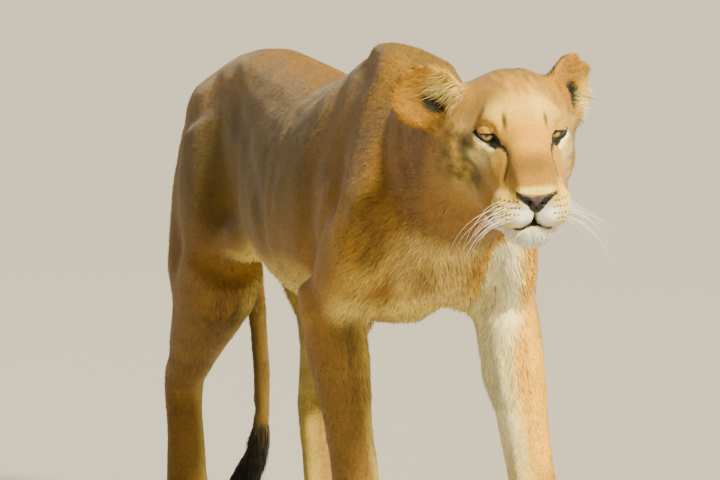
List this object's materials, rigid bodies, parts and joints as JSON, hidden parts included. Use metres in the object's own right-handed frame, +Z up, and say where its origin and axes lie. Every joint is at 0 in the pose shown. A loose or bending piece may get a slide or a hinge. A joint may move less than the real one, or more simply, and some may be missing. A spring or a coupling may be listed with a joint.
{
  "type": "lioness",
  "caption": "Life-size still lioness in a slow walking stance, left forefoot ahead, head turned a little to its right and held level with the back, long tufted tail hanging free.",
  "frame": {"origin": "on the floor, below the middle of the model's box", "axes": "-Y ahead of the animal, +X to its left, +Z up"},
  "size_m": [0.3822, 1.7068, 1.0051],
  "materials": {
    "tawny_coat": "short, soft fur",
    "dark_tuft": "longer, dark fur",
    "nose_leather": "damp, finely pebbled",
    "eye": "wet gloss"
  },
  "bodies": {
    "root": {"head": "tawny_coat", "neck": "tawny_coat", "chest": "tawny_coat", "belly": "tawny_coat", "hips": "tawny_coat", "ear_left": "tawny_coat", "ear_right": "tawny_coat", "shoulder_left": "tawny_coat", "shoulder_right": "tawny_coat", "forearm_left": "tawny_coat", "forearm_right": "tawny_coat", "forepaw_left": "tawny_coat", "forepaw_right": "tawny_coat", "thigh_left": "tawny_coat", "thigh_right": "tawny_coat", "shank_left": "tawny_coat", "shank_right": "tawny_coat", "hock_left": "tawny_coat", "hock_right": "tawny_coat", "hindpaw_left": "tawny_coat", "hindpaw_right": "tawny_coat", "tail_root": "tawny_coat", "tail_middle": "tawny_coat", "tail_tuft": "dark_tuft", "nose": "nose_leather", "eye_left": "eye", "eye_right": "eye"}
  },
  "joints": []
}
